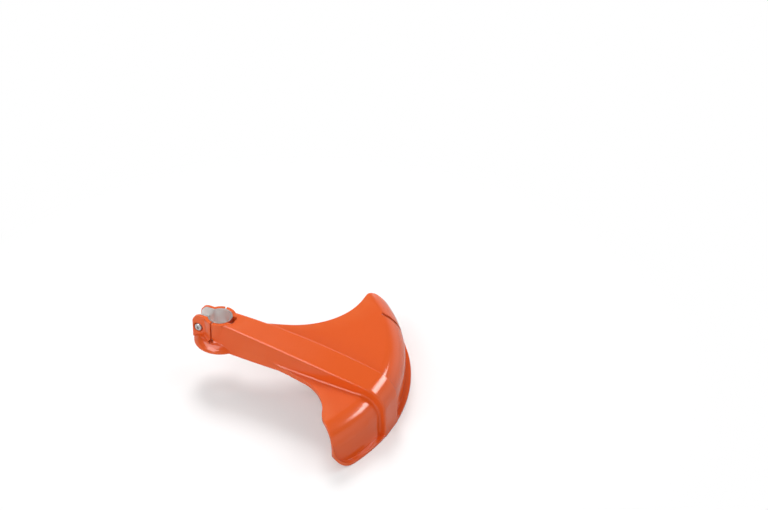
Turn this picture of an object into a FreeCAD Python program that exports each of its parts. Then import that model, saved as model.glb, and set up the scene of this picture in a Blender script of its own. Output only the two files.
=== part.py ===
import FreeCAD, Part
import math
import os
from FreeCAD import Vector

# A moulded guard for a line trimmer. A split hub with a steel band clamps the shaft tube,
# a channel-shaped arm reaches out from it, and a fan with a rounded shoulder, a skirt and
# a foot flange stops what the spinning line throws.
# Frame: Z is the tube's axis and points up the tube, z = 0 is the collar's lower rim, and
# the arm runs along +X. Lengths are millimetres, angles are degrees.

# Tube and clamp band
tube_d = 25.4                # one-inch shaft tube
tube_clearance = 0.05        # radial room for the tube in the open band
band_wall = 1.5              # strip that the band is bent from
band_seat_z = 3.0            # ledge in the hub that the band stands on
band_proud = 0.4             # how far the band stands out of the hub's top
band_bend_r = 3.0            # inside bend between the ring and an ear
band_clearance = 0.25        # room between the band and the plastic round it
ear_gap = 13.0               # between the two ears
ear_reach = 29.0             # from the tube's axis to the ears' ends
ear_toe_r = 3.0              # lower corner of an ear

# Hub
hub_top_z = 32.2
collar_r = 31.6              # lower rim of the domed collar
collar_rise = 1.2            # straight part of the rim
collar_top_z = 7.6           # where the dome meets the barrel
collar_wall = 2.6
dome_bulge = 1.9             # how far the dome stands out over its chord
barrel_wall = 4.2
barrel_foot_r = 2.5          # fillet between barrel and dome
root_notch_x = 19.7          # notch between the band and the arm's root
root_notch_half = 7.0
root_notch_r = 3.0
root_notch_depth = 12.0
jaw_half = 12.0              # half the width over both jaws
jaw_overhang = 1.8           # how far the jaws reach past the ears' ends
jaw_base_z = 0.6
jaw_corner_r = 9.5           # rounded upper corner of the jaws
jaw_toe_r = 1.0
slit_angle = 98.0            # from the arm, one slit each side
slit_w = 2.4
slit_hole_r = 2.4
slit_foot_z = 6.5

# Clamp screw and nut, M5
screw_d = 5.0
screw_clearance = 0.25       # radial room in the jaws and ears
screw_length = 25.0
screw_inset = 5.7            # from the ears' ends back to the screw's axis
screw_z = 15.5
head_d = 9.5
head_h = 3.4
head_dome = 1.4              # height of the rounded edge of the head
head_sink_r = 6.2
head_sink_depth = 2.6
nut_flats = 8.0
nut_h = 4.0
nut_sink = 2.4               # how deep the nut sits in the far jaw
nut_thread_room = 0.05
nut_room = 0.15              # between the nut's flats and its pocket

# Fan, shoulder, skirt and flange
wall = 2.6
fan_apex_z = 11.8            # height of the fan's cone on the tube's axis
fan_slope = 3.3
shoulder_r = 26.0
skirt_depth = 52.0           # from the collar's rim down to the flange's lower face
skirt_draft = 2.5
flange_r = 223.4
flange_w = 6.0
flange_thick = 3.0
lip_top_z = -18.0            # the flange rises round the near end and fades out here
lip_end_w = 1.0              # what is left of its width there
rim_depth = 4.5              # turned-down rim along the fan's free edges
end_rim = 3.0                # turned-in rim up the skirt's two ends
rim_wall = 2.4

# Plan of the fan's free edges; corners in shares of flange_r, their radii in millimetres
near_root = (0.278, -0.084)  # near edge leaves the arm's wall between root and heel
near_heel = (0.439, -0.106)
near_heel_r = 150.0
near_hollow = (0.690, -0.161)
near_hollow_r = 56.0
near_tip = (0.765, -0.331)
near_tip_r = 25.0
near_end_angle = -26.0       # where the near end meets the flange's edge circle
near_foot_r = 30.0           # rounded lower corner of the near end
far_hollow = (0.528, 0.337)
far_hollow_r = 97.0
far_tip = (0.510, 0.730)
far_tip_r = 11.0
far_corner_r = 14.0
far_root = (-6.5, 17.3)      # far edge leaves the hub here, inside its barrel; millimetres

# Arm
arm_root_x = 16.0
arm_shoulder_z = 12.0
arm_crown = 2.5              # rise of its top over a straight line
arm_foot_z = -0.5            # lower edge of its walls near the hub
arm_wall = 2.6
arm_draft = 7.0              # lean of its walls halfway along
root_draft = 12.0            # the same at the tube's axis
arm_top_edge_r = 2.5
arm_foot_r = 2.5
root_half = 13.5             # half the width of the arm's top, at the tube's axis
arm_half = 19.0              # the same halfway along
pad_half = 16.2
pad_shoulder_r = 28.0
pad_inset = 33.4             # from the pad's foot back to the end of the crowned top

# Slot near the far tip, and the blade under it that trims the line
slot_start = (0.656, 0.575)  # inner end, in shares of flange_r
slot_length = 26.0
slot_w = 3.4
blade_wall = 2.0
blade_lead = 2.0             # how far its cutting edge stands inwards of the slot
blade_foot_z = -42.0
blade_room = 4.0             # between the blade's other edges and the moulding
blade_bevel = 3.0            # ground width of the cutting edge
blade_land = 0.3             # what is left of its thickness at the edge
boss_length = 17.0
boss_width = 11.0
boss_below = 7.0             # from the screw's axis down to the boss's foot
boss_corner_r = 4.0
cutter_inset = 9.3           # from the blade's outer edge back to its screw's axis
cutter_drop = 4.0            # from the blade's upper edge, a screw's width further out, down to it
cutter_screw_length = 10.0

# Derived places
screw_x = screw_inset - ear_reach
jaw_reach = ear_reach + jaw_overhang
bore_r = tube_d / 2 + tube_clearance
band_outer_r = bore_r + band_wall
recess_r = band_outer_r + band_clearance
barrel_r = recess_r + barrel_wall
flange_foot_z = -skirt_depth
skirt_foot_z = flange_foot_z + flange_thick
skirt_foot_r = flange_r - flange_w
slope_tan = math.tan(math.radians(fan_slope))
slope_cos = math.cos(math.radians(fan_slope))
draft_tan = math.tan(math.radians(skirt_draft))
draft_cos = math.cos(math.radians(skirt_draft))
above = hub_top_z + 20       # clear of everything upwards
below = flange_foot_z - 20   # clear of everything downwards
pad_overrun = 1.0            # the arm's sides run on past the pad's face
edge_tolerance = 0.01
arm_shoulder_x = flange_r - pad_inset
arm_middle_x = flange_r / 2
slot_x0 = slot_start[0] * flange_r
slot_y = slot_start[1] * flange_r
blade_inner_x = slot_x0 - blade_lead
head_seat_y = head_sink_depth - jaw_half
nut_seat_y = jaw_half - nut_sink
blade_face_y = slot_y + slot_w / 2


def corner_arc(before, corner, after, radius):
    """Start, middle and end of the arc that rounds a corner."""
    u = (before - corner).normalize()
    v = (after - corner).normalize()
    half = u.getAngle(v) / 2
    bisector = (u + v).normalize()
    centre = corner + bisector * (radius / math.sin(half))
    reach = radius / math.tan(half)
    return corner + u * reach, centre - bisector * radius, corner + v * reach


def rounded_edges(corners):
    """Lines and tangent arcs along an open path of (point, radius) corners."""
    points = [point for point, radius in corners]
    edges = []
    last = points[0]
    for i in range(1, len(corners) - 1):
        radius = corners[i][1]
        if radius == 0:
            start = middle = end = points[i]
        else:
            start, middle, end = corner_arc(points[i - 1], points[i], points[i + 1], radius)
        if (start - last).Length > 1e-6:
            edges.append(Part.LineSegment(last, start).toShape())
        if radius > 0:
            edges.append(Part.Arc(start, middle, end).toShape())
        last = end
    edges.append(Part.LineSegment(last, points[-1]).toShape())
    return edges


def closed_face(edges):
    return Part.Face(Part.Wire(Part.__sortEdges__(edges)))


def rounded_face(corners):
    """A closed face from (point, radius) corners; the first corner stays sharp."""
    return closed_face(rounded_edges(corners + [(corners[0][0], 0)]))


def turned(face):
    """A full turn of a face in the XZ plane about the tube's axis."""
    return face.revolve(Vector(0, 0, 0), Vector(0, 0, 1), 360)


def plan(x, y, z=0.0):
    return Vector(x, y, z)


def side(x, z):
    return Vector(x, 0, z)


def shared(corner):
    """Plan point of a corner given in shares of flange_r."""
    return plan(corner[0] * flange_r, corner[1] * flange_r)


def fan_z(r, depth):
    """Height of the fan's surface at a radius, set in from the outside by depth."""
    return fan_apex_z - r * slope_tan - depth / slope_cos


def skirt_r(z, depth):
    """Radius of the skirt's surface at a height, set in from the outside by depth."""
    return skirt_foot_r - (z - skirt_foot_z) * draft_tan - depth / draft_cos


def shoulder_corner(fan_depth, skirt_inset):
    """Sharp corner of fan and skirt, each set in from the outside."""
    skirt_r0 = skirt_r(0, skirt_inset)
    r = (skirt_r0 - fan_z(0, fan_depth) * draft_tan) / (1 - slope_tan * draft_tan)
    return side(r, fan_z(r, fan_depth))


def shoulder_z(r, depth):
    """Height of the shoulder's surface at a radius, set in from the outside by depth."""
    centre = shoulder_corner(shoulder_r, shoulder_r)
    return centre.z + math.sqrt((shoulder_r - depth) ** 2 - (r - centre.x) ** 2)


def cutter_axis():
    """Where the blade's screw enters its boss, from the blade's outer and upper edges."""
    depth = wall + blade_room
    outer_r = shoulder_corner(shoulder_r, shoulder_r).x + shoulder_r - depth
    x = math.sqrt(outer_r ** 2 - blade_face_y ** 2) - cutter_inset
    edge_z = shoulder_z(math.hypot(x + screw_d, blade_face_y), depth)
    return Vector(x, blade_face_y, edge_z - cutter_drop)


def fan_mass(depth, foot_z):
    """Turned body under the fan's surface, set in from the outside by depth."""
    return turned(rounded_face([
        (side(0, foot_z), 0),
        (side(0, fan_z(0, depth)), 0),
        (shoulder_corner(depth, depth), shoulder_r - depth),
        (side(skirt_r(foot_z, depth), foot_z), 0),
    ]))


def flange_ring():
    """Turned body of the foot flange and of the lip it turns into up the near end."""
    arc_centre = shoulder_corner(shoulder_r, shoulder_r)
    lip_r = arc_centre.x + math.sqrt(shoulder_r ** 2 - (lip_top_z - arc_centre.z) ** 2)
    return turned(rounded_face([
        (side(skirt_r(flange_foot_z, wall / 2), flange_foot_z), 0),
        (side(flange_r, flange_foot_z), 0),
        (side(flange_r, skirt_foot_z), 0),
        (side(lip_r + lip_end_w, lip_top_z), 0),
        (side(lip_r - wall / 2, lip_top_z), 0),
    ]))


def beyond_near_end(inset):
    """Prism along the radius of what is kept at the near end: upright edge, round lower corner."""
    face = rounded_face([
        (Vector(0, inset, above), 0),
        (Vector(0, inset, flange_foot_z + inset), near_foot_r - inset),
        (Vector(0, flange_r, flange_foot_z + inset), 0),
        (Vector(0, flange_r, above), 0),
    ])
    prism = face.extrude(Vector(2 * flange_r, 0, 0))
    prism.rotate(Vector(0, 0, 0), Vector(0, 0, 1), near_end_angle)
    return prism


def flange():
    """Foot flange that follows the round lower corner and rises up the near end."""
    return flange_ring().common(beyond_near_end(0).cut(beyond_near_end(flange_thick)))


def near_corner_cut():
    """What the round lower corner takes off the near end."""
    low = Vector(-2 * flange_r, -2 * flange_r, flange_foot_z)
    return Part.makeBox(4 * flange_r, 4 * flange_r, near_foot_r, low).cut(beyond_near_end(0))


def circle_corner(y, radius):
    """Rounded corner between a line of constant y and the flange's edge circle."""
    sign = 1 if y > 0 else -1
    cy = y - sign * radius
    cx = math.sqrt((flange_r - radius) ** 2 - cy ** 2)
    centre = plan(cx, cy)
    on_line = plan(cx, y)
    on_circle = centre * (flange_r / (flange_r - radius))
    middle = centre + ((on_line + on_circle) / 2 - centre).normalize() * radius
    return on_line, middle, on_circle


def fan_outline():
    """Plan of the fan: hollow near edge, near end, flange edge, far end, hollow far edge."""
    far_line, far_mid, far_circle = circle_corner(shared(far_tip).y, far_corner_r)
    turn = math.radians(near_end_angle)
    near_end = plan(flange_r * math.cos(turn), flange_r * math.sin(turn))
    inner_x = shared(near_root).x
    near = rounded_edges([
        (plan(inner_x, 0), 0),
        (shared(near_root), 0),
        (shared(near_heel), near_heel_r),
        (shared(near_hollow), near_hollow_r),
        (shared(near_tip), near_tip_r),
        (near_end, 0),
    ])
    far = rounded_edges([
        (far_line, 0),
        (shared(far_tip), far_tip_r),
        (shared(far_hollow), far_hollow_r),
        (plan(*far_root), 0),
        (plan(far_root[0], 0), 0),
        (plan(inner_x, 0), 0),
    ])
    round_edges = [
        Part.Arc(near_end, plan(flange_r, 0), far_circle).toShape(),
        Part.Arc(far_circle, far_mid, far_line).toShape(),
    ]
    return closed_face(near + round_edges + far)


def upright(face):
    """Tall prism of a plan face, clear of the whole guard above and below."""
    lowered = face.copy()
    lowered.translate(Vector(0, 0, below))
    return lowered.extrude(Vector(0, 0, above - below))


def arm_top_z(x):
    """Height of the arm's top on its parabola from root to shoulder."""
    share = (x - arm_root_x) / (arm_shoulder_x - arm_root_x)
    straight = hub_top_z + (arm_shoulder_z - hub_top_z) * share
    return straight + 4 * arm_crown * share * (1 - share)


def arm_plan(inset, z):
    """Closed plan of the arm at a height: an arc each side, with the draft of its walls."""
    root_spread = (hub_top_z - z) * math.tan(math.radians(root_draft))
    arm_spread = (arm_top_z(arm_middle_x) - z) * math.tan(math.radians(arm_draft))
    stations = [
        (0.0, root_half + root_spread),
        (arm_middle_x, arm_half + arm_spread),
        (flange_r + pad_overrun, pad_half),
    ]
    sides = []
    for sign in (-1, 1):
        points = [plan(x, sign * (half - inset), z) for x, half in stations]
        sides.append(Part.Arc(*points).toShape())
    near, far = sides
    root = Part.LineSegment(near.Vertexes[0].Point, far.Vertexes[0].Point).toShape()
    pad = Part.LineSegment(near.Vertexes[-1].Point, far.Vertexes[-1].Point).toShape()
    return Part.Wire(Part.__sortEdges__([near, pad, far, root]))


def arm_profile(depth, start_x, foot_z):
    """Side view of the arm: level root, crowned top, shoulder and pad, set in by depth."""
    root = side(start_x, hub_top_z - depth)
    start = side(max(arm_root_x, start_x), hub_top_z - depth)
    middle_x = (arm_root_x + arm_shoulder_x) / 2
    middle = side(middle_x, arm_top_z(middle_x) - depth)
    end = side(arm_shoulder_x, arm_shoulder_z - depth)
    top = Part.Arc(start, middle, end)
    heading = top.tangent(top.LastParameter)[0]
    level = [Part.LineSegment(root, start).toShape()] if root.x < start.x else []
    pad_lean = Vector(-draft_tan, 0, 1)
    pad_foot = side(flange_r - depth, flange_foot_z) + pad_lean * (foot_z - flange_foot_z)
    gap = pad_foot - end
    reach = gap.cross(pad_lean).y / heading.cross(pad_lean).y
    shoulder = rounded_edges([
        (end, 0),
        (end + heading * reach, pad_shoulder_r - depth),
        (pad_foot, 0),
        (side(start_x, foot_z), 0),
        (root, 0),
    ])
    return closed_face(level + [top.toShape()] + shoulder)


def arm_body(depth, start_x, foot_z):
    """Solid arm between its drafted sides, set in by depth from its outside."""
    face = arm_profile(depth, start_x, foot_z)
    width = 4 * arm_half
    face.translate(Vector(0, -width / 2, 0))
    sides = Part.makeLoft([arm_plan(depth, below), arm_plan(depth, above)], True, True)
    return face.extrude(Vector(0, width, 0)).common(sides)


def middle_point(edge):
    return edge.valueAt((edge.FirstParameter + edge.LastParameter) / 2)


def touches(shape, point):
    return shape.distToShape(Part.Vertex(point))[0] < edge_tolerance


def arm_outside():
    """The arm's outside with its long upper edges rounded."""
    arm = arm_body(0, 0.0, flange_foot_z)
    upper = []
    for edge in arm.Edges:
        point = middle_point(edge)
        beside = abs(point.y) > pad_half / 2
        inland = point.x > edge_tolerance and point.z > flange_foot_z + edge_tolerance
        if beside and inland:
            upper.append(edge)
    return arm.makeFillet(arm_top_edge_r, upper)


def fan_and_arm(outline):
    """Fan, skirt and arm cut to their plan, with a fillet along the foot of the arm's sides."""
    fan = fan_mass(0, flange_foot_z)
    arm = arm_outside()
    mass = fan.fuse(arm)
    shells = Part.Compound(fan.Faces)
    walls = Part.Compound(arm.Faces)
    foot = []
    for edge in mass.Edges:
        point = middle_point(edge)
        clear_ends = point.x > barrel_r and point.z > flange_foot_z + edge_tolerance
        if clear_ends and touches(shells, point) and touches(walls, point):
            foot.append(edge)
    blended = mass.makeFillet(arm_foot_r, foot)
    corner = Vector(-2 * flange_r, -2 * flange_r, below)
    everything = Part.makeBox(4 * flange_r, 4 * flange_r, above - below, corner)
    return blended.cut(everything.cut(upright(outline)).cut(arm)).removeSplitter()


def under_fan():
    """Everything under the lower edges: a level floor near the hub, then the fan's inside."""
    level_r = (fan_z(0, rim_depth) - arm_foot_z) / slope_tan
    return turned(rounded_face([
        (side(0, below), 0),
        (side(0, arm_foot_z), 0),
        (side(level_r, arm_foot_z), 0),
        (shoulder_corner(rim_depth, end_rim), shoulder_r - rim_depth),
        (side(skirt_r(below, end_rim), below), 0),
    ]))


def fan_moulding():
    """Fan and arm cut to their plan and hollowed out, with the turned-down rim left."""
    outline = fan_outline()
    mass = fan_and_arm(outline)
    hollow = fan_mass(wall, below).common(upright(outline.makeOffset2D(-rim_wall)))
    cut = mass.cut(under_fan()).cut(hollow).cut(near_corner_cut())
    return cut.fuse(flange().common(upright(outline)))


def omega_face(offset, reach):
    """Plan of a ring with two ears towards -X, set out from the band's inside by offset."""
    r = bore_r + offset
    half = ear_gap / 2 + offset
    bend = band_bend_r - offset
    cy = half + bend
    cx = -math.sqrt((r + bend) ** 2 - cy ** 2)
    on_ring = plan(cx, cy) * (r / (r + bend))
    towards = (plan(cx, half) + on_ring) / 2 - plan(cx, cy)
    bend_mid = plan(cx, cy) + towards.normalize() * bend
    mirror = [Vector(p.x, -p.y, 0) for p in (on_ring, bend_mid)]
    edges = [
        Part.LineSegment(plan(-reach, half), plan(cx, half)).toShape(),
        Part.Arc(plan(cx, half), bend_mid, on_ring).toShape(),
        Part.Arc(on_ring, plan(r, 0), mirror[0]).toShape(),
        Part.Arc(mirror[0], mirror[1], plan(cx, -half)).toShape(),
        Part.LineSegment(plan(cx, -half), plan(-reach, -half)).toShape(),
        Part.LineSegment(plan(-reach, -half), plan(-reach, half)).toShape(),
    ]
    return closed_face(edges)


def raised(face, z0, z1):
    """Prism of a plan face between two heights."""
    moved = face.copy()
    moved.translate(Vector(0, 0, z0))
    return moved.extrude(Vector(0, 0, z1 - z0))


def across(face, y0, y1):
    """Prism of a side-view face between two places across the arm."""
    moved = face.copy()
    moved.translate(Vector(0, y0, 0))
    return moved.extrude(Vector(0, y1 - y0, 0))


def rod(r, y0, y1):
    """Cylinder along the clamp screw's axis."""
    return Part.makeCylinder(r, y1 - y0, Vector(screw_x, y0, screw_z), Vector(0, 1, 0))


def hex_prism(flats, y0, y1):
    """Hexagon along the clamp screw's axis, two flats upright."""
    corner_r = flats / math.sqrt(3)
    points = []
    for k in range(7):
        turn = math.radians(60 * k)
        points.append(Vector(screw_x + corner_r * math.sin(turn), 0, screw_z + corner_r * math.cos(turn)))
    return across(Part.Face(Part.makePolygon(points)), y0, y1)


def dome_edge(depth):
    """Side view of the collar's domed top, set in by depth, from rim to barrel."""
    rim = side(collar_r - depth, collar_rise)
    crown = side(barrel_r, collar_top_z - depth)
    chord = crown - rim
    out = Vector(-chord.z, 0, chord.x).normalize()
    if out.z < 0:
        out = out * -1
    return rim, (rim + crown) / 2 + out * dome_bulge, crown


def collar():
    """Domed collar with the barrel that the clamp band sits in."""
    rim, bulge, crown = dome_edge(0)
    dome = closed_face([
        Part.LineSegment(side(0, 0), side(collar_r, 0)).toShape(),
        Part.LineSegment(side(collar_r, 0), rim).toShape(),
        Part.Arc(rim, bulge, crown).toShape(),
        Part.LineSegment(crown, side(barrel_r, hub_top_z)).toShape(),
        Part.LineSegment(side(barrel_r, hub_top_z), side(0, hub_top_z)).toShape(),
        Part.LineSegment(side(0, hub_top_z), side(0, 0)).toShape(),
    ])
    body = turned(dome)
    foot = []
    for edge in body.Edges:
        point = edge.Vertexes[0].Point
        if edge.Curve.TypeId == "Part::GeomCircle" and abs(point.z - crown.z) < edge_tolerance:
            foot.append(edge)
    return body.makeFillet(barrel_foot_r, foot)


def collar_hollow():
    """Room under the dome, round the sleeve that guides the tube."""
    rim, bulge, crown = dome_edge(collar_wall)
    return turned(rounded_face([
        (side(barrel_r, below), 0),
        (side(rim.x, below), 0),
        (rim, 0),
        (crown, 0),
    ]))


def jaws():
    """The two jaws behind the tube that the clamp screw draws together."""
    block = rounded_face([
        (side(0, jaw_base_z), 0),
        (side(-jaw_reach, jaw_base_z), jaw_toe_r),
        (side(-jaw_reach, hub_top_z), jaw_corner_r),
        (side(0, hub_top_z), 0),
    ])
    return across(block, -jaw_half, jaw_half)


def slits():
    """Keyhole slits that free the jaws from the arm's side of the barrel."""
    tools = []
    for sign in (-1, 1):
        inner = Vector(bore_r + band_wall / 2, 0, slit_foot_z)
        cut = Part.makeBox(2 * barrel_wall, slit_w, above, inner - Vector(0, slit_w / 2, 0))
        hole = Part.makeCylinder(slit_hole_r, 2 * barrel_wall, inner, Vector(1, 0, 0))
        tool = cut.fuse(hole)
        tool.rotate(Vector(0, 0, 0), Vector(0, 0, 1), sign * slit_angle)
        tools.append(tool)
    return tools


def root_notch():
    """Open notch between the band and the arm's root."""
    notch = rounded_face([
        (plan(0, -root_notch_half), 0),
        (plan(root_notch_x, -root_notch_half), root_notch_r),
        (plan(root_notch_x, root_notch_half), root_notch_r),
        (plan(0, root_notch_half), 0),
    ])
    return raised(notch, hub_top_z - root_notch_depth, above)


def hub_cuts():
    """Bore, band recess, jaw gap, root notch, slits, screw and nut places."""
    recess = omega_face(band_wall + band_clearance, jaw_reach + 1)
    return [
        Part.makeCylinder(bore_r, above - below, Vector(0, 0, below)),
        raised(recess, band_seat_z, above),
        root_notch(),
        rod(screw_d / 2 + screw_clearance, -2 * jaw_half, 2 * jaw_half),
        rod(head_sink_r, -2 * jaw_half, head_seat_y),
        hex_prism(nut_flats + 2 * nut_room, nut_seat_y, 2 * jaw_half),
    ] + slits()


def slot():
    """Slot in the shoulder near the far tip."""
    corner = Vector(slot_x0, slot_y - slot_w / 2, shoulder_corner(0, 0).z - shoulder_r)
    return Part.makeBox(slot_length, slot_w, above - corner.z, corner)


def blade_boss():
    """Block under the fan that the blade is screwed to."""
    axis = cutter_axis()
    foot_z = axis.z - boss_below
    inner_x = axis.x - boss_length / 2
    outer_x = axis.x + boss_length / 2
    block = rounded_face([
        (side(inner_x, above), 0),
        (side(inner_x, foot_z), boss_corner_r),
        (side(outer_x, foot_z), boss_corner_r),
        (side(outer_x, above), 0),
    ])
    boss = across(block, blade_face_y, blade_face_y + boss_width)
    boss = boss.common(fan_mass(wall / 2, below))
    return boss.cut(cutter_rod(screw_d / 2 + nut_thread_room, blade_face_y, cutter_screw_length))


def cutter_rod(r, y0, length):
    """Cylinder along the blade screw's axis."""
    axis = cutter_axis()
    return Part.makeCylinder(r, length, Vector(axis.x, y0, axis.z), Vector(0, 1, 0))


def guard_shell():
    """The moulding: fan, arm and hub in one piece."""
    shell = fan_moulding().fuse(collar()).fuse(jaws())
    shell = shell.cut(arm_body(arm_wall, barrel_r + arm_wall, below))
    shell = shell.cut(collar_hollow())
    for tool in hub_cuts():
        shell = shell.cut(tool)
    return shell.cut(slot()).fuse(blade_boss())


def clamp_band():
    """Steel strip bent round the tube, with two flat ears."""
    top_z = hub_top_z + band_proud
    strip = raised(omega_face(band_wall, ear_reach), band_seat_z, top_z)
    strip = strip.cut(raised(omega_face(0, ear_reach + 1), below, above))
    ear = rounded_face([
        (side(band_outer_r, band_seat_z), 0),
        (side(-ear_reach, band_seat_z), ear_toe_r),
        (side(-ear_reach, top_z), jaw_corner_r),
        (side(band_outer_r, top_z), 0),
    ])
    strip = strip.common(across(ear, -barrel_r, barrel_r))
    return strip.cut(rod(screw_d / 2 + screw_clearance, -jaw_half, jaw_half))


def pan_screw(length):
    """Pan-head screw: seat at the origin, head towards -Y."""
    head = Part.makeCylinder(head_d / 2, head_h, Vector(0, -head_h, 0), Vector(0, 1, 0))
    rim = [e for e in head.Edges if len(e.Vertexes) == 1 and e.Vertexes[0].Y < -head_h / 2]
    shank = Part.makeCylinder(screw_d / 2, length, Vector(0, 0, 0), Vector(0, 1, 0))
    return head.makeFillet(head_dome, rim).fuse(shank)


def clamp_screw():
    """Screw through both jaws and both ears."""
    screw = pan_screw(screw_length)
    screw.translate(Vector(screw_x, head_seat_y, screw_z))
    return screw


def clamp_nut():
    """Hexagon nut in its pocket in the far jaw."""
    nut = hex_prism(nut_flats, nut_seat_y, nut_seat_y + nut_h)
    return nut.cut(rod(screw_d / 2 + nut_thread_room, nut_seat_y, nut_seat_y + nut_h))


def line_cutter_blade():
    """Flat steel blade under the slot with one ground edge."""
    near_y = blade_face_y - blade_wall
    foot = Vector(blade_inner_x, near_y, blade_foot_z)
    plate = Part.makeBox(flange_r, blade_wall, above - blade_foot_z, foot)
    plate = plate.common(fan_mass(wall + blade_room, below))
    ground = Part.Face(Part.makePolygon([
        plan(blade_inner_x, near_y),
        plan(blade_inner_x + blade_bevel, near_y),
        plan(blade_inner_x, blade_face_y - blade_land),
        plan(blade_inner_x, near_y),
    ]))
    plate = plate.cut(upright(ground))
    return plate.cut(cutter_rod(screw_d / 2 + screw_clearance, near_y, blade_wall))


def cutter_screw():
    """Screw that holds the blade against its boss."""
    screw = pan_screw(cutter_screw_length)
    screw.translate(cutter_axis() - Vector(0, blade_wall, 0))
    return screw


pieces = {
    "guard_shell": guard_shell,
    "clamp_band": clamp_band,
    "clamp_screw": clamp_screw,
    "clamp_nut": clamp_nut,
    "line_cutter_blade": line_cutter_blade,
    "cutter_screw": cutter_screw,
}

os.makedirs("parts", exist_ok=True)
for name, make in pieces.items():
    shape = make()
    print(name, "solids", len(shape.Solids), "valid", shape.isValid(), "volume", round(shape.Volume))
    shape.exportStep("parts/" + name + ".step")
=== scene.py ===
# %% [markdown]
# # A moulded trimmer guard
#
# This lesson dresses a guard for a line trimmer. The solids come in as a frame that already has the
# right sizes: one big plastic moulding, a bent steel band, two screws, a nut and a small blade.
# Each of them gets a skin that shades well and a procedural material. Then come a white studio
# and a camera.
#
# Lengths are metres. Z is the axis of the clamp, X runs out along the arm, and z = 0 is the lower
# rim of the hub's collar.

import math

import bmesh
import bpy
import numpy as np
from mathutils import Matrix, Vector


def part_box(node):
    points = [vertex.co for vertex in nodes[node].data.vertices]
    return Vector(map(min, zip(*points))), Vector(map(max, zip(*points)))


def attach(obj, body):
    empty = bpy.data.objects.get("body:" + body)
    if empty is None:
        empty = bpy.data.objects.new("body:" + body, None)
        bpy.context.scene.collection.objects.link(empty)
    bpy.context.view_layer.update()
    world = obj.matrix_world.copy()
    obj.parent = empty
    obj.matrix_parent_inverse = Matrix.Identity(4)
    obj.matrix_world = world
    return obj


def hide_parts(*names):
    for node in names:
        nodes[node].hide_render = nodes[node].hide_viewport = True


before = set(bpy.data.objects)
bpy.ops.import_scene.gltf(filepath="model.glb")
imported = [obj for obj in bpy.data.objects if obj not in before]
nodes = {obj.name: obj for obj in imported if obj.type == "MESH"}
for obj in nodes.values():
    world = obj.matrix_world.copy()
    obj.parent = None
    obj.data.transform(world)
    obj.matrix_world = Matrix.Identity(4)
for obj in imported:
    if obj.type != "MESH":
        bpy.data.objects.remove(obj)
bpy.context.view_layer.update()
for name, solid in sorted(nodes.items()):
    print(name, len(solid.data.vertices), "points", len(solid.data.polygons), "faces")

# %% [markdown]
# ## Skins with joined corners
#
# On the real guard the plastic flows without a break from the fan over the shoulder into the skirt.
# The frame's meshes are loose triangles, and a gloss on them would look cut from paper. The surfaces
# could be modelled again or remeshed, but both would move the shape. So a skin is a copy whose
# corners are joined where they already meet. The frame also stores rough normals with its corners,
# and the copy drops them, so that Blender works out its own.

# %% a copy with joined corners
same_point = 2e-6  # corners closer than this become one
no_length = 1e-6  # shorter edges are closed up


def into_scene(name, data):
    """A new object at the origin that shows a mesh, a light or a camera."""
    obj = bpy.data.objects.new(name, data)
    bpy.context.scene.collection.objects.link(obj)
    return obj


def joined_copy(node_name):
    """A copy of a frame node with its triangle corners joined, as a new object."""
    mesh = nodes[node_name].data.copy()
    mesh.name = node_name + "_skin"
    loose = len(mesh.vertices)
    work = bmesh.new()
    work.from_mesh(mesh)
    bmesh.ops.remove_doubles(work, verts=work.verts, dist=same_point)
    bmesh.ops.dissolve_degenerate(work, edges=work.edges, dist=no_length)
    work.to_mesh(mesh)
    work.free()
    if "custom_normal" in mesh.attributes:
        mesh.attributes.remove(mesh.attributes["custom_normal"])
    print(node_name, "joined from", loose, "to", len(mesh.vertices), "points")
    return into_scene(node_name + "_skin", mesh)


# %% [markdown]
# ## Tools for three small cuts
#
# Near its far tip the moulding has a slot with a wide, blunt mouth. Beside the jaws it has two slits
# that end in round holes, which also nick the collar's dome. Dark marks could be painted there, but
# a mark has no depth when it is seen from the side. So each one is cut with a closed prism: a ring
# of points in one plane, carried along a straight line.

# %% prisms to cut with
def face_outwards(mesh):
    """Turns all faces of a closed mesh outwards."""
    mesh.update()
    work = bmesh.new()
    work.from_mesh(mesh)
    bmesh.ops.recalc_face_normals(work, faces=work.faces)
    work.to_mesh(mesh)
    work.free()


def bar(name, ring, along):
    """Closed prism p(k, s) = ring(k) + s along, with s = 0 and s = 1."""
    n = len(ring)
    points = np.concatenate([ring, ring + np.array(along)])
    k = np.arange(n)
    sides = np.stack([k, (k + 1) % n, (k + 1) % n + n, k + n], -1)
    caps = [tuple(range(n - 1, -1, -1)), tuple(range(n, 2 * n))]
    mesh = bpy.data.meshes.new(name)
    mesh.from_pydata(points.tolist(), [], sides.tolist() + caps)
    face_outwards(mesh)
    print(name, "prism with", n, "sides")
    return into_scene(name, mesh)


# %% the slot's mouth
mouth_foot_z, mouth_head_z = -0.030, 0.008
mouth_plan = np.array(
    [(0.1470, 0.1270), (0.1494, 0.1252), (0.1760, 0.1252), (0.1725, 0.1300), (0.1660, 0.1300)]
)
mouth_ring = np.column_stack([mouth_plan, np.full(len(mouth_plan), mouth_foot_z)])
cutters = [bar("slot mouth", mouth_ring, (0, 0, mouth_head_z - mouth_foot_z))]

# %% the round ends of the slits
slit_angle, hole_angle, hole_tilt = math.radians(98), math.radians(88), math.radians(20)
hole_r, hole_length = 2.5e-3, 14.0e-3
hole_start_r, hole_start_z = 14.0e-3, 6.0e-3
turns = np.arange(32) * 2 * math.pi / 32


def round_the_hub(angle, hand):
    """Level unit vector at an angle from the arm, on the near side (-1) or the far side (1)."""
    return np.array([math.cos(angle), hand * math.sin(angle), 0.0])


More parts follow.
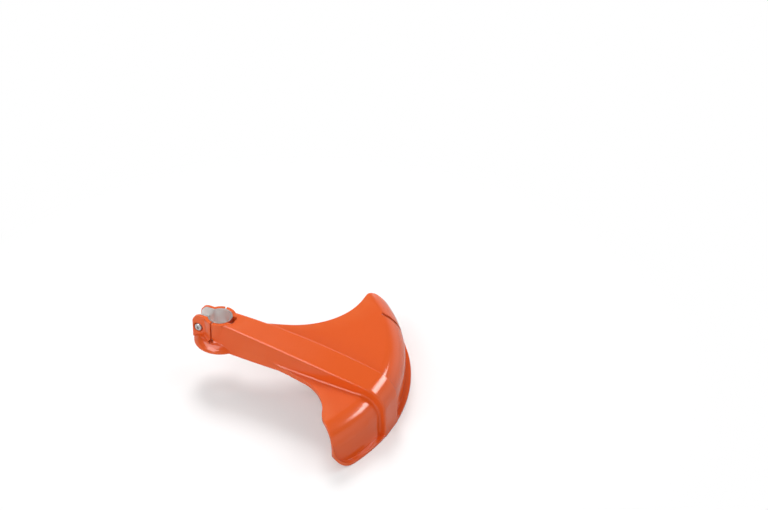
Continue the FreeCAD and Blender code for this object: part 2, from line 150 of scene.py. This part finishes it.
for hand in (-1, 1):
    heading = round_the_hub(hole_angle, hand)
    outwards = heading + np.array([0.0, 0.0, math.tan(hole_tilt)])
    outwards = outwards / np.linalg.norm(outwards)
    sideways = np.array([-heading[1], heading[0], 0.0])
    upwards = np.cross(outwards, sideways)
    hole_ring = hole_r * (np.cos(turns)[:, None] * sideways + np.sin(turns)[:, None] * upwards)
    start = hole_start_r * round_the_hub(slit_angle, hand) + np.array([0.0, 0.0, hole_start_z])
    cutters.append(bar("slit end", start + hole_ring, hole_length * outwards))

# %% [markdown]
# ## Carving and smoothing
#
# A moulding has crisp parting edges and long soft curves side by side. Smooth shading everywhere
# would make the edges look blown up, and flat shading would show every triangle. So edges that turn
# by more than a set angle stay crisp, and everything flatter is shaded as one surface. A
# weighted-normal modifier lets the large faces win, which keeps flat walls flat right up to their
# rounded edges. The cuts come first, so that their own edges are found crisp as well.

# %% carve and smooth
crisp_angle = 34.0  # degrees between two faces


def carve(obj, tool):
    """Takes the tool's volume out of the object's mesh; the tool is used up."""
    knife = obj.modifiers.new("knife", "BOOLEAN")
    knife.operation = "DIFFERENCE"
    knife.solver = "EXACT"
    knife.object = tool
    graph = bpy.context.evaluated_depsgraph_get()
    obj_cut = bpy.data.meshes.new_from_object(obj.evaluated_get(graph))
    obj.modifiers.clear()
    obj.data = obj_cut
    bpy.data.objects.remove(tool)


def skin(node_name, tools=()):
    """A joined, smoothly shaded copy of a frame node, which then stands for it."""
    obj = joined_copy(node_name)
    for tool in tools:
        carve(obj, tool)
    mesh = obj.data
    mesh.polygons.foreach_set("use_smooth", np.ones(len(mesh.polygons), bool))
    mesh.set_sharp_from_angle(angle=math.radians(crisp_angle))
    mesh.materials.clear()
    soft = obj.modifiers.new("large faces win", "WEIGHTED_NORMAL")
    soft.keep_sharp = True
    soft.mode = "FACE_AREA_WITH_ANGLE"
    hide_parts(node_name)
    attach(obj, "root")
    print(obj.name, len(mesh.vertices), "points")
    return obj


# %% dressed pieces
shell = skin("guard_shell", cutters)
band = skin("clamp_band")
nut = skin("clamp_nut")
blade = skin("line_cutter_blade")

# %% [markdown]
# ## Screws from one lathe grid
#
# The clamp and the blade are each held by a pan-head screw with a six-lobed socket. In the solids they
# are plain. A thread could be a helix swept round a rod, but its ends are hard to close. Here a screw
# is a stack of rings round one axis, and ring i has the radius r(i, t) at the angle t. The rings start
# at the floor of the socket, climb its lobed wall, round the head, go under it and run down the thread
# to the tip. The whole screw is then one closed grid.

# %% lathe
def lathe(name, radii, heights, origin, axis_to=(0, -1, 0)):
    """Surface p(i, t) = origin + r(i, t) (u cos t + v sin t) + h(i) w, closed at both ends.

    radii and heights are (rings, n) arrays; w is the unit vector axis_to and u, v span its plane.
    """
    rings, n = radii.shape
    w = np.array(axis_to, float)
    u = np.array([1.0, 0.0, 0.0])
    v = np.cross(w, u)
    t = np.arange(n) * 2 * math.pi / n
    spokes = np.cos(t)[:, None] * u + np.sin(t)[:, None] * v
    points = np.array(origin) + radii[..., None] * spokes + heights[..., None] * w
    i, k = np.meshgrid(np.arange(rings - 1), np.arange(n), indexing="ij")
    a, b = i * n + k, i * n + (k + 1) % n
    quads = np.stack([a, b, b + n, a + n], -1).reshape(-1, 4)
    caps = [tuple(range(n - 1, -1, -1)), tuple(range((rings - 1) * n, rings * n))]
    mesh = bpy.data.meshes.new(name)
    mesh.from_pydata(points.reshape(-1, 3).tolist(), [], quads.tolist() + caps)
    mesh.polygons.foreach_set("use_smooth", np.ones(len(mesh.polygons), bool))
    face_outwards(mesh)
    mesh.set_sharp_from_angle(angle=math.radians(40))
    return into_scene(name, mesh)


# %% socket and head
head_r, head_h, head_dome = 4.75e-3, 3.4e-3, 1.4e-3
socket_r, socket_lobe, socket_depth = 1.95e-3, 0.28e-3, 2.2e-3
neck_r, edge_break = 2.46e-3, 0.15e-3
screw_turn = np.arange(72) * 2 * math.pi / 72
ring_of_ones = np.ones(72)


def socket_rows():
    """Rings r(t) = socket_r + socket_lobe cos 6t, from the socket's floor up to the head's top."""
    star = socket_r + socket_lobe * np.cos(6 * screw_turn)
    foot = head_h - socket_depth
    rows = [(0.02 * star, foot - 0.3e-3), (0.96 * star, foot), (star, foot + 0.1e-3)]
    return rows + [(star, head_h - edge_break), (star + 0.12e-3, head_h)]


def head_rows():
    """Rings over the head's edge: r = head_r - dome (1 - sin a), h = head_h - dome (1 - cos a)."""
    rows = [((head_r - head_dome) * ring_of_ones, head_h)]
    for a in np.radians(np.linspace(12, 90, 7)):
        r = head_r - head_dome + head_dome * math.sin(a)
        rows.append((r * ring_of_ones, head_h - head_dome + head_dome * math.cos(a)))
    rows += [(head_r * ring_of_ones, edge_break), ((head_r - edge_break) * ring_of_ones, 0.0)]
    return rows + [(neck_r * ring_of_ones, 0.0)]


print("socket and head", len(socket_rows()) + len(head_rows()), "rings")

# %% thread
thread_r, thread_pitch, thread_depth = 2.45e-3, 0.8e-3, 0.32e-3


def thread_rows(length):
    """Rings r = thread_r - thread_depth |2f - 1|^1.3, with f the fraction of h / pitch - t / 2 pi."""
    rows = []
    for h in np.arange(0.4e-3, length - 0.6e-3, thread_pitch / 8):
        f = (h / thread_pitch - screw_turn / (2 * math.pi)) % 1.0
        rows.append((thread_r - thread_depth * np.abs(2 * f - 1) ** 1.3, -h))
    core = thread_r - thread_depth
    rows.append((core * ring_of_ones, -(length - 0.5e-3)))
    return rows + [((core - thread_depth) * ring_of_ones, -length), (0.02e-3 * ring_of_ones, -length)]


def pan_screw(node_name):
    """Pan-head screw in the place of a frame node, from that node's box; the head points to -Y."""
    low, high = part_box(node_name)
    seat = ((low[0] + high[0]) / 2, low[1] + head_h, (low[2] + high[2]) / 2)
    rows = socket_rows() + head_rows() + thread_rows(high[1] - low[1] - head_h)
    radii = np.array([r for r, h in rows])
    heights = np.array([h * ring_of_ones for r, h in rows])
    obj = lathe(node_name + "_turned", radii, heights, seat)
    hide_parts(node_name)
    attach(obj, "root")
    print(obj.name, len(obj.data.polygons), "faces")
    return obj


clamp_screw = pan_screw("clamp_screw")
cutter_screw = pan_screw("cutter_screw")

# %% [markdown]
# ## Small helpers for nodes
#
# A material in Blender is a tree of nodes joined by links. Writing out each node and each link makes
# long code that hides the idea, so a few helpers make a node with its settings, a colour ramp, a
# Math node, a colour mix and a change of range. A node *group* is a small tree with sockets of its own,
# which several materials can then use.

# %% node helpers
def node(tree, kind, **values):
    """A node whose settings and unlinked sockets are given by name, with _ for a space."""
    made = tree.nodes.new(kind)
    for key, value in values.items():
        label = key.replace("_", " ")
        if label in made.inputs:
            made.inputs[label].default_value = value
        else:
            setattr(made, key, value)
    return made


def ramp(tree, stops):
    """A colour ramp of (position, grey) stops."""
    made = tree.nodes.new("ShaderNodeValToRGB")
    for i, (place, grey) in enumerate(stops):
        stop = made.color_ramp.elements[i] if i < 2 else made.color_ramp.elements.new(place)
        stop.position = place
        stop.color = (grey, grey, grey, 1)
    return made


def reckon(tree, operation, first, second):
    """The value of a Math node on two sockets, or on a socket and a number."""
    made = node(tree, "ShaderNodeMath", operation=operation)
    for socket, value in zip(made.inputs, (first, second)):
        if isinstance(value, float):
            socket.default_value = value
        else:
            tree.links.new(value, socket)
    return made.outputs["Value"]


# %% mixing and ranges
def colour_socket(sockets, label):
    """The socket of that name that carries a colour."""
    return next(s for s in sockets if s.name == label and s.type == "RGBA")


def blend(tree, mask, first, second):
    """A colour mix: first where the mask is 0, second where it is 1."""
    mix = node(tree, "ShaderNodeMix", data_type="RGBA")
    tree.links.new(mask, mix.inputs["Factor"])
    for label, value in (("A", first), ("B", second)):
        socket = colour_socket(mix.inputs, label)
        if isinstance(value, tuple):
            socket.default_value = (*value, 1)
        else:
            tree.links.new(value, socket)
    return colour_socket(mix.outputs, "Result")


def stretch(tree, value, low, high):
    """Maps a 0..1 value to low..high."""
    mapped = node(tree, "ShaderNodeMapRange", To_Min=low, To_Max=high)
    tree.links.new(value, mapped.inputs["Value"])
    return mapped.outputs["Result"]


def group(name, inputs, outputs):
    """A new shader node group with its sockets, and its input and output nodes."""
    tree = bpy.data.node_groups.new(name, "ShaderNodeTree")
    for label, kind, value in inputs:
        socket = tree.interface.new_socket(label, in_out="INPUT", socket_type=kind)
        if value is not None:
            socket.default_value = value
    for label, kind in outputs:
        tree.interface.new_socket(label, in_out="OUTPUT", socket_type=kind)
    print("node group", name, "gives", [label for label, kind in outputs])
    return tree, tree.nodes.new("NodeGroupInput"), tree.nodes.new("NodeGroupOutput")


# %% [markdown]
# ## Grain
#
# No moulding and no sheet of steel has quite one colour or one smoothness. A picture of the surface
# could bring that in, but it would need a file and would stretch over the curves. Noise in Object
# coordinates needs neither. This group gives two noises of the same place: a slow one for drifts of
# colour and a fast one for the feel of the surface.

# %% grain
number, arrow = "NodeSocketFloat", "NodeSocketVector"
grain, grain_in, grain_out = group(
    "grain",
    [("Vector", arrow, None), ("Slow", number, 20.0), ("Fast", number, 900.0)],
    [("Slow", number), ("Fast", number)],
)
for label, detail in (("Slow", 3.0), ("Fast", 2.0)):
    noise = node(grain, "ShaderNodeTexNoise", Detail=detail, Roughness=0.55)
    grain.links.new(grain_in.outputs["Vector"], noise.inputs["Vector"])
    grain.links.new(grain_in.outputs[label], noise.inputs["Scale"])
    grain.links.new(noise.outputs["Fac"], grain_out.inputs[label])

# %% [markdown]
# ## Rubbed edges
#
# A guard is handled and knocked, so its outer edges are a touch paler than its faces. They could be
# painted by hand, vertex by vertex. Blender's *pointiness* already knows how convex the mesh is at
# each point, so a ramp on it gives a mask of the edges, and a noise from outside breaks that mask up.

# %% edges
edges, edges_in, edges_out = group("edges", [("Breakup", number, 0.5)], [("Worn", number)])
shape = edges.nodes.new("ShaderNodeNewGeometry")
convex = ramp(edges, [(0.52, 0.0), (0.60, 1.0)])
edges.links.new(shape.outputs["Pointiness"], convex.inputs["Fac"])
worn_mask = reckon(edges, "MULTIPLY", convex.outputs["Color"], edges_in.outputs["Breakup"])
edges.links.new(worn_mask, edges_out.inputs["Worn"])

# %% [markdown]
# ## Relief
#
# Moulded plastic has a fine peel, and drawn steel has fine lines. Both are far too small to model.
# A bump node tilts the shading normal as if the height were there. A bevel node comes before it, so
# that a hard edge catches a thin line of light, as every real edge does.

# %% relief
relief, relief_in, relief_out = group(
    "relief",
    [
        ("Height", number, 0.5), ("Strength", number, 0.1),
        ("Depth", number, 1e-4), ("Edge Radius", number, 5e-4),
    ],
    [("Normal", arrow)],
)
rounded = node(relief, "ShaderNodeBevel", samples=6)
bump = relief.nodes.new("ShaderNodeBump")
relief.links.new(relief_in.outputs["Edge Radius"], rounded.inputs["Radius"])
relief.links.new(rounded.outputs["Normal"], bump.inputs["Normal"])
for label, socket_name in (("Height", "Height"), ("Strength", "Strength"), ("Depth", "Distance")):
    relief.links.new(relief_in.outputs[label], bump.inputs[socket_name])
relief.links.new(bump.outputs["Normal"], relief_out.inputs["Normal"])

# %% [markdown]
# ## Orange plastic
#
# The moulding is a bright orange plastic with a soft gloss, coloured all through. One flat colour
# would look like a drawing, and a painted texture would not follow the shape. So its colour drifts a
# little towards a deeper orange, its edges turn paler where they rub, and a fine peel breaks up the
# reflections. The gloss drifts with the same slow noise, so the streaks of light are not quite even.

# %% material helpers
def start_material(name):
    """A material with only its output and a Principled shader, and Object coordinates."""
    material = bpy.data.materials.new(name)
    material.use_nodes = True
    tree = material.node_tree
    tree.nodes.clear()
    output = tree.nodes.new("ShaderNodeOutputMaterial")
    shader = tree.nodes.new("ShaderNodeBsdfPrincipled")
    tree.links.new(shader.outputs["BSDF"], output.inputs["Surface"])
    place = tree.nodes.new("ShaderNodeTexCoord")
    print("material", name)
    return material, tree, shader, place


def use(tree, kind, **values):
    """A node group used in a material."""
    made = tree.nodes.new("ShaderNodeGroup")
    made.node_tree = kind
    for key, value in values.items():
        made.inputs[key.replace("_", " ")].default_value = value
    return made


# %% orange plastic
def moulded(name, colour, pale, deep, gloss):
    """Glossy moulded plastic: drifting colour, paler rubbed edges, a fine peel."""
    material, tree, shader, place = start_material(name)
    noise = use(tree, grain, Slow=14.0, Fast=1500.0)
    tree.links.new(place.outputs["Object"], noise.inputs["Vector"])
    slow = noise.outputs["Slow"]
    rub = use(tree, edges)
    tree.links.new(slow, rub.inputs["Breakup"])
    drift = blend(tree, stretch(tree, slow, 0.0, 0.5), colour, deep)
    worn = blend(tree, stretch(tree, rub.outputs["Worn"], 0.0, 0.35), drift, pale)
    tree.links.new(worn, shader.inputs["Base Color"])
    tree.links.new(stretch(tree, slow, gloss - 0.04, gloss + 0.05), shader.inputs["Roughness"])
    peel = use(tree, relief, Strength=0.06, Depth=4e-5, Edge_Radius=7e-4)
    tree.links.new(noise.outputs["Fast"], peel.inputs["Height"])
    tree.links.new(peel.outputs["Normal"], shader.inputs["Normal"])
    shader.inputs["IOR"].default_value = 1.5
    return material


orange = moulded("orange plastic", (0.76, 0.105, 0.014), (0.86, 0.22, 0.07), (0.71, 0.092, 0.011), 0.14)

# %% [markdown]
# ## Steels
#
# The band is a bright plated strip, the screws and the nut are plated a little darker, and the blade
# is ground. Each could have a recipe of its own, but they differ only in tone, smoothness and the
# direction of their fine lines. So one recipe serves all of them. A Mapping node squeezes the noise
# along one direction, which draws it out into lines.

# %% steels
def steel(name, colour, dark, rough, along):
    """Bare or plated steel with a drawn grain along one direction."""
    material, tree, shader, place = start_material(name)
    squeeze = node(tree, "ShaderNodeMapping", Scale=along)
    tree.links.new(place.outputs["Object"], squeeze.inputs["Vector"])
    noise = use(tree, grain, Slow=30.0, Fast=700.0)
    tree.links.new(squeeze.outputs["Vector"], noise.inputs["Vector"])
    fast = noise.outputs["Fast"]
    rub = use(tree, edges)
    tree.links.new(fast, rub.inputs["Breakup"])
    tone = blend(tree, stretch(tree, noise.outputs["Slow"], 0.0, 0.7), colour, dark)
    worn = blend(tree, rub.outputs["Worn"], tone, tuple(min(1.0, c * 1.15) for c in colour))
    tree.links.new(worn, shader.inputs["Base Color"])
    shader.inputs["Metallic"].default_value = 1.0
    tree.links.new(stretch(tree, fast, rough - 0.07, rough + 0.1), shader.inputs["Roughness"])
    drawn = use(tree, relief, Strength=0.05, Depth=2e-5, Edge_Radius=2e-4)
    tree.links.new(fast, drawn.inputs["Height"])
    tree.links.new(drawn.outputs["Normal"], shader.inputs["Normal"])
    return material


bright = steel("plated strip", (0.86, 0.86, 0.85), (0.76, 0.76, 0.76), 0.3, (1, 1, 0.04))
plated = steel("plated fasteners", (0.68, 0.68, 0.67), (0.52, 0.52, 0.52), 0.3, (1, 1, 1))
ground = steel("ground blade", (0.6, 0.6, 0.61), (0.5, 0.5, 0.5), 0.32, (0.06, 1, 1))

# %% [markdown]
# ## Who wears what
#
# Each piece is of one material, so there is nothing to paint or to split into slots. The frame's own
# solids get the same materials as the skins that stand for them, so that both always agree.

# %% put the materials on
worn_by = {"guard_shell": orange, "clamp_band": bright, "line_cutter_blade": ground}
dressed = {
    "guard_shell": shell, "clamp_band": band, "clamp_nut": nut, "line_cutter_blade": blade,
    "clamp_screw": clamp_screw, "cutter_screw": cutter_screw,
}
for name, solid in nodes.items():
    material = worn_by.get(name, plated)
    solid.data.materials.clear()
    solid.data.materials.append(material)
    dressed[name].data.materials.append(material)
    print(name, "wears", material.name)

# %% [markdown]
# ## A pale floor
#
# The guard stands on its flange on white paper. Paper that is truly white throws a lot of light back
# up, and the underside of the arm would glow. So the floor has two tones. Rays from the camera find
# it white. Rays that carry light find it a middle grey, and mirror rays find it mostly grey.
# The Light Path node tells the kinds of ray apart.

# %% floor
floor_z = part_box("guard_shell")[0][2] - 2e-4
half = 6.0
floor_corners = [(x * half, y * half, floor_z) for x, y in ((-1, -1), (1, -1), (1, 1), (-1, 1))]
floor_mesh = bpy.data.meshes.new("floor")
floor_mesh.from_pydata(floor_corners, [], [(0, 1, 2, 3)])
floor = into_scene("floor", floor_mesh)
print("floor at", round(floor_z, 4))

# %% the floor's paper
paper, paper_tree, paper_shader, paper_place = start_material("white sweep")
join = paper_tree.links.new
fibre = use(paper_tree, grain, Slow=3.0, Fast=60.0)
join(paper_place.outputs["Object"], fibre.inputs["Vector"])
fibre_mask = stretch(paper_tree, fibre.outputs["Slow"], 0.0, 1.0)
tint = blend(paper_tree, fibre_mask, (0.54, 0.53, 0.53), (0.56, 0.55, 0.55))
rays = paper_tree.nodes.new("ShaderNodeLightPath")
mirrored = reckon(paper_tree, "MULTIPLY", rays.outputs["Is Glossy Ray"], 0.2)
looked_at = reckon(paper_tree, "MAXIMUM", rays.outputs["Is Camera Ray"], mirrored)
join(blend(paper_tree, looked_at, tint, (1.0, 0.99, 0.99)), paper_shader.inputs["Base Color"])
paper_shader.inputs["Roughness"].default_value = 0.9
paper_shader.inputs["Specular IOR Level"].default_value = 0.1
floor_mesh.materials.append(paper)

# %% [markdown]
# ## A fade to pure white
#
# In a studio the paper sweeps up behind the object until it has no shade left. A curved backdrop with
# more lamps would do that, but the lamps would also change the guard. So with the distance from
# the guard the paper's shader gives way to a plain white glow. Only looking rays see the glow, so
# it lights nothing. Close to the guard a fifth of the glow still shows: painted light that makes the
# guard's shadow on the paper paler.

# %% fade
# least_glow: the share of white glow that the camera still sees beside the guard, a painted light over
# its shadow
fade_from, fade_to, least_glow = 0.26, 0.5, 0.2
glow = node(paper_tree, "ShaderNodeEmission", Color=(1.0, 1.0, 1.0, 1.0), Strength=1.0)
reach = node(paper_tree, "ShaderNodeVectorMath", operation="DISTANCE")
reach.inputs[1].default_value = (0.1, 0.02, floor_z)
join(paper_place.outputs["Object"], reach.inputs[0])
far_off = node(
    paper_tree, "ShaderNodeMapRange", interpolation_type="SMOOTHSTEP",
    From_Min=fade_from, From_Max=fade_to, To_Min=least_glow,
)
join(reach.outputs["Value"], far_off.inputs["Value"])
sweep = paper_tree.nodes.new("ShaderNodeMixShader")
join(reckon(paper_tree, "MULTIPLY", far_off.outputs["Result"], looked_at), sweep.inputs[0])
join(paper_shader.outputs["BSDF"], sweep.inputs[1])
join(glow.outputs["Emission"], sweep.inputs[2])
join(sweep.outputs["Shader"], paper_tree.nodes["Material Output"].inputs["Surface"])
print("paper fades to white from", fade_from, "to", fade_to, "m")

# %% [markdown]
# ## The room
#
# Gloss needs something to mirror. A photograph of a room could be wrapped round the scene, but a plain
# ramp by height is enough here: bright low down, where pale walls would stand, and darker overhead.
# The dark ceiling keeps the top of the arm a full orange, and the bright walls show at the grazing
# edges.

# %% room
world = bpy.data.worlds.new("studio")
bpy.context.scene.world = world
world.use_nodes = True
room = world.node_tree
direction = room.nodes.new("ShaderNodeTexCoord")
parts = room.nodes.new("ShaderNodeSeparateXYZ")
walls = ramp(room, [(0.0, 1.0), (0.32, 0.85), (0.5, 0.2), (1.0, 0.2)])
room.links.new(direction.outputs["Generated"], parts.inputs["Vector"])
room.links.new(parts.outputs["Z"], walls.inputs["Fac"])
room.links.new(walls.outputs["Color"], room.nodes["Background"].inputs["Color"])
room.nodes["Background"].inputs["Strength"].default_value = 0.97
print("room", len(walls.color_ramp.elements), "shades by height")

# %% [markdown]
# ## Soft boxes
#
# Two things make this picture: pale streaks on the rounded edges, and soft light with a soft shadow.
# One set of lamps can hardly do both, because a streak's place fixes its lamp. That lamp has to be
# where the view ray goes after bouncing off the spot that shines. So there are two sets. The gloss
# boxes are seen only in reflections. The fill boxes light the surfaces and cast the shadow, and no
# reflection shows them.

# %% soft boxes
box_target = Vector((0.1, 0.02, -0.01))  # the middle of the guard


def facing(azimuth, elevation):
    """Unit vector to a direction in degrees; azimuth 0 is -Y and turns towards +X."""
    a, e = math.radians(azimuth), math.radians(elevation)
    return Vector((math.sin(a) * math.cos(e), -math.cos(a) * math.cos(e), math.sin(e)))


def soft_box(name, azimuth, elevation, distance, width, height, power):
    """An area light that looks at the middle of the guard from a direction in degrees."""
    towards = facing(azimuth, elevation)
    lamp = bpy.data.lights.new(name, "AREA")
    lamp.shape = "RECTANGLE"
    lamp.size = width
    lamp.size_y = height
    lamp.energy = power
    obj = into_scene(name, lamp)
    turned = towards.to_track_quat("Z", "Y").to_matrix().to_4x4()
    obj.matrix_world = Matrix.Translation(box_target + towards * distance) @ turned
    print(name, [round(v, 2) for v in obj.location])
    return obj


# %% gloss boxes and fill boxes
# name, azimuth, elevation, distance, width, height, power
gloss_boxes = [
    ("front soft box", -25, 52, 1.6, 0.9, 0.7, 12),
    ("overhead soft box", -75, 66, 1.6, 1.0, 1.0, 12),
    ("back strip", 141, 40, 1.3, 0.8, 0.26, 7.5),
    ("rear strip", 201, 12, 1.8, 0.7, 0.4, 3),
]
fill_boxes = [
    ("front fill", -5, 40, 1.8, 2.0, 1.4, 18),
    ("side fill", 125, 50, 1.6, 1.2, 1.0, 6),
    ("key soft box", -145, 52, 1.6, 0.6, 0.6, 13),
]
for box in gloss_boxes:
    soft_box(*box).visible_diffuse = False
for box in fill_boxes:
    soft_box(*box).visible_glossy = False

# %% [markdown]
# ## The camera
#
# The view is a product picture's: a long lens from in front and above, a little to the right of the
# arm's root, with a slight roll. A camera could be placed by eye. Here its place follows from a few
# measured numbers: two angles, a roll, a distance, a focal length in pixels, and the pixel that shows
# the frame's origin. The camera backs away from the origin along the view direction, and then moves
# aside until the origin falls on that pixel.

# %% view direction
view_azimuth, view_elevation, roll = 25.4, 35.97, math.radians(1.2)
back = facing(view_azimuth, view_elevation)
right = Vector((math.cos(math.radians(view_azimuth)), math.sin(math.radians(view_azimuth)), 0))
up = back.cross(right)
right, up = math.cos(roll) * right + math.sin(roll) * up, math.cos(roll) * up - math.sin(roll) * right
print("view from", [round(v, 3) for v in back])

# %% camera
pixels_wide, pixels_high = 768, 510
focal_px, view_distance = 1958.94, 2.2929
origin_px = (221.18, 337.71)
aside = (origin_px[0] - pixels_wide / 2) / focal_px * view_distance
above = (pixels_high / 2 - origin_px[1]) / focal_px * view_distance
eye = back * view_distance - right * aside - up * above
lens = bpy.data.cameras.new("camera")
lens.sensor_width = 36.0
lens.lens = focal_px * lens.sensor_width / pixels_wide
lens.clip_start = 0.05
lens.clip_end = 50.0
camera = into_scene("camera", lens)
camera.matrix_world = Matrix((
    (right.x, up.x, back.x, eye.x),
    (right.y, up.y, back.y, eye.y),
    (right.z, up.z, back.z, eye.z),
    (0, 0, 0, 1),
))
bpy.context.scene.camera = camera
bpy.context.scene.view_settings.view_transform = "Standard"
print("lens", round(lens.lens, 2), "mm, eye", [round(v, 3) for v in eye])
